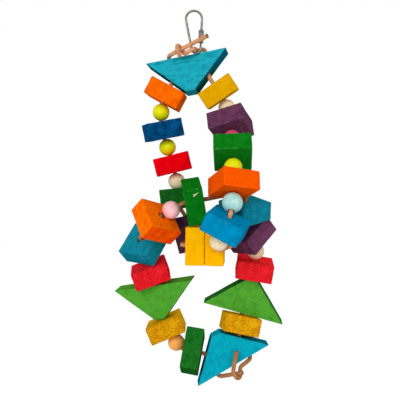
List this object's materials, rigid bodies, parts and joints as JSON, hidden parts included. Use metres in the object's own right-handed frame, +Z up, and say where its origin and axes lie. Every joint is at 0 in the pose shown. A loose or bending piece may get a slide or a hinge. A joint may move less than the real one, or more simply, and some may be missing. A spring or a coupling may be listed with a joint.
{
  "type": "hanging bird chew toy",
  "caption": "Hanging bird chew toy: dyed wooden blocks, wedges and beads strung on two leather laces looped through each other, under a steel quick link.",
  "frame": {"origin": "inside the top bow of the steel link, where it hangs on a bar or hook", "axes": "+Z up along the hanging toy, +Y away from the viewer, +X to the viewer's right"},
  "size_m": [0.1801, 0.1292, 0.3927],
  "materials": {
    "teal_dye": "dyed, grain showing, matte",
    "orange_dye": "dyed, grain showing, matte",
    "navy_dye": "dyed, grain showing, matte",
    "red_dye": "dyed, grain showing, matte",
    "dark_green_dye": "dyed, grain showing, matte",
    "gold_dye": "dyed, grain showing, matte",
    "purple_dye": "dyed, grain showing, matte",
    "blue_dye": "dyed, grain showing, matte",
    "yellow_dye": "dyed, grain showing, matte",
    "plum_dye": "dyed, grain showing, matte",
    "green_dye": "dyed, grain showing, matte",
    "aqua_dye": "dyed, grain showing, matte",
    "lime_dye": "dyed, grain showing, matte",
    "petrol_dye": "dyed, grain showing, matte",
    "lemon_paint": "smooth satin paint",
    "bare_wood": "bare and sanded",
    "magenta_paint": "smooth satin paint",
    "mint_paint": "smooth satin paint",
    "peach_paint": "smooth satin paint",
    "pink_paint": "smooth satin paint",
    "leather_lace": "oiled leather, matte",
    "plated_steel": "bright zinc plate"
  },
  "bodies": {
    "link": {"pear_link": "plated_steel"},
    "nut": {"sleeve_nut": "plated_steel"},
    "toy": {"top_wedge": "teal_dye", "ul_orange": "orange_dye", "ul_green": "dark_green_dye", "ur_orange": "orange_dye", "ur_blue": "blue_dye", "mid_yellow_left": "yellow_dye", "mid_yellow_right": "yellow_dye", "mid_plum": "plum_dye", "mid_green": "green_dye", "bottom_wedge": "aqua_dye", "ll_green": "dark_green_dye", "ll_yellow": "yellow_dye", "left_wedge": "lime_dye", "ll_red": "red_dye", "ll_teal": "petrol_dye", "ll_orange": "orange_dye", "lr_yellow": "yellow_dye", "right_wedge": "lime_dye", "lr_purple": "purple_dye", "lr_teal": "petrol_dye", "upper_lace": "leather_lace", "lower_lace": "leather_lace"},
    "bead_ul_yellow_a_body": {"bead_ul_yellow_a": "lemon_paint"},
    "bead_ul_yellow_b_body": {"bead_ul_yellow_b": "lemon_paint"},
    "bead_ul_natural_body": {"bead_ul_natural": "bare_wood"},
    "bead_ur_natural_body": {"bead_ur_natural": "bare_wood"},
    "bead_ur_pink_body": {"bead_ur_pink": "magenta_paint"},
    "bead_ur_yellow_body": {"bead_ur_yellow": "lemon_paint"},
    "bead_ur_mint_body": {"bead_ur_mint": "mint_paint"},
    "bead_mid_natural_body": {"bead_mid_natural": "bare_wood"},
    "bead_ll_orange_body": {"bead_ll_orange": "peach_paint"},
    "bead_ll_pink_body": {"bead_ll_pink": "pink_paint"},
    "bead_lr_natural_body": {"bead_lr_natural": "bare_wood"},
    "ul_navy_body": {"ul_navy": "navy_dye"},
    "ul_red_body": {"ul_red": "red_dye"},
    "ur_yellow_body": {"ur_yellow": "gold_dye"},
    "ur_purple_body": {"ur_purple": "purple_dye"},
    "ur_green_body": {"ur_green": "dark_green_dye"},
    "lr_red_body": {"lr_red": "red_dye"}
  },
  "joints": [
    {"name": "toy_swing", "type": "hinge", "parent": "link", "child": "toy", "pos_m": [0.00297, 0, -0.0424], "axis": [1, 0, 0], "range_deg": [-15, 15]},
    {"name": "nut_slide", "type": "slide", "parent": "link", "child": "nut", "axis": [0.0506, 0, 0.9987], "range_m": [0, 0.009]},
    {"name": "bead_ul_yellow_a_spin", "type": "hinge", "parent": "toy", "child": "bead_ul_yellow_a_body", "pos_m": [-0.03459, 0.01709, -0.1012], "axis": [-0.0514, 0.1908, -0.9803], "continuous": true},
    {"name": "bead_ul_yellow_b_spin", "type": "hinge", "parent": "toy", "child": "bead_ul_yellow_b_body", "pos_m": [-0.02808, 0.0229, -0.1378], "axis": [0.3518, 0.1908, -0.9164], "continuous": true},
    {"name": "bead_ul_natural_spin", "type": "hinge", "parent": "toy", "child": "bead_ul_natural_body", "pos_m": [-0.01845, 0.0259, -0.17405], "axis": [0.1907, 0.0349, -0.981], "continuous": true},
    {"name": "bead_ur_natural_spin", "type": "hinge", "parent": "toy", "child": "bead_ur_natural_body", "pos_m": [0.03482, 0.00765, -0.09811], "axis": [0.2895, -0.1392, -0.947], "continuous": true},
    {"name": "bead_ur_pink_spin", "type": "hinge", "parent": "toy", "child": "bead_ur_pink_body", "pos_m": [0.03937, -0.00888, -0.13159], "axis": [0, -0.6947, -0.7193], "continuous": true},
    {"name": "bead_ur_yellow_spin", "type": "hinge", "parent": "toy", "child": "bead_ur_yellow_body", "pos_m": [0.03925, -0.03129, -0.16193], "axis": [-0.0134, -0.6428, -0.7659], "continuous": true},
    {"name": "bead_ur_mint_spin", "type": "hinge", "parent": "toy", "child": "bead_ur_mint_body", "pos_m": [0.03757, -0.04886, -0.19681], "axis": [-0.16, -0.5446, -0.8233], "continuous": true},
    {"name": "bead_mid_natural_spin", "type": "hinge", "parent": "toy", "child": "bead_mid_natural_body", "pos_m": [0.0249, -0.04471, -0.23396], "axis": [-0.2296, 0.6691, -0.7068], "continuous": true},
    {"name": "bead_ll_orange_spin", "type": "hinge", "parent": "toy", "child": "bead_ll_orange_body", "pos_m": [-0.01863, 0.02313, -0.34674], "axis": [-0.689, 0.225, 0.689], "continuous": true},
    {"name": "bead_ll_pink_spin", "type": "hinge", "parent": "toy", "child": "bead_ll_pink_body", "pos_m": [-0.02217, -0.01971, -0.20421], "axis": [0.8725, 0.0698, 0.4836], "continuous": true},
    {"name": "bead_lr_natural_spin", "type": "hinge", "parent": "toy", "child": "bead_lr_natural_body", "pos_m": [0.06534, 0.01138, -0.24795], "axis": [-0.05, -0.2924, 0.955], "continuous": true},
    {"name": "ul_navy_spin", "type": "hinge", "parent": "toy", "child": "ul_navy_body", "pos_m": [-0.03304, 0.02001, -0.11983], "axis": [-0.1894, -0.1219, 0.9743], "continuous": true},
    {"name": "ul_red_spin", "type": "hinge", "parent": "toy", "child": "ul_red_body", "pos_m": [-0.02257, 0.02506, -0.15572], "axis": [-0.2416, -0.0523, 0.969], "continuous": true},
    {"name": "ur_yellow_spin", "type": "hinge", "parent": "toy", "child": "ur_yellow_body", "pos_m": [0.02639, 0.00815, -0.08102], "axis": [-0.5578, -0.0698, 0.827], "continuous": true},
    {"name": "ur_purple_spin", "type": "hinge", "parent": "toy", "child": "ur_purple_body", "pos_m": [0.03838, 0.00181, -0.11591], "axis": [-0.094, 0.4384, 0.8939], "continuous": true},
    {"name": "ur_green_spin", "type": "hinge", "parent": "toy", "child": "ur_green_body", "pos_m": [0.03937, -0.02034, -0.1466], "axis": [0, 0.5299, 0.848], "continuous": true},
    {"name": "lr_red_spin", "type": "hinge", "parent": "toy", "child": "lr_red_body", "pos_m": [0.06414, 0.01552, -0.26637], "axis": [0.1545, -0.1564, 0.9755], "continuous": true}
  ]
}
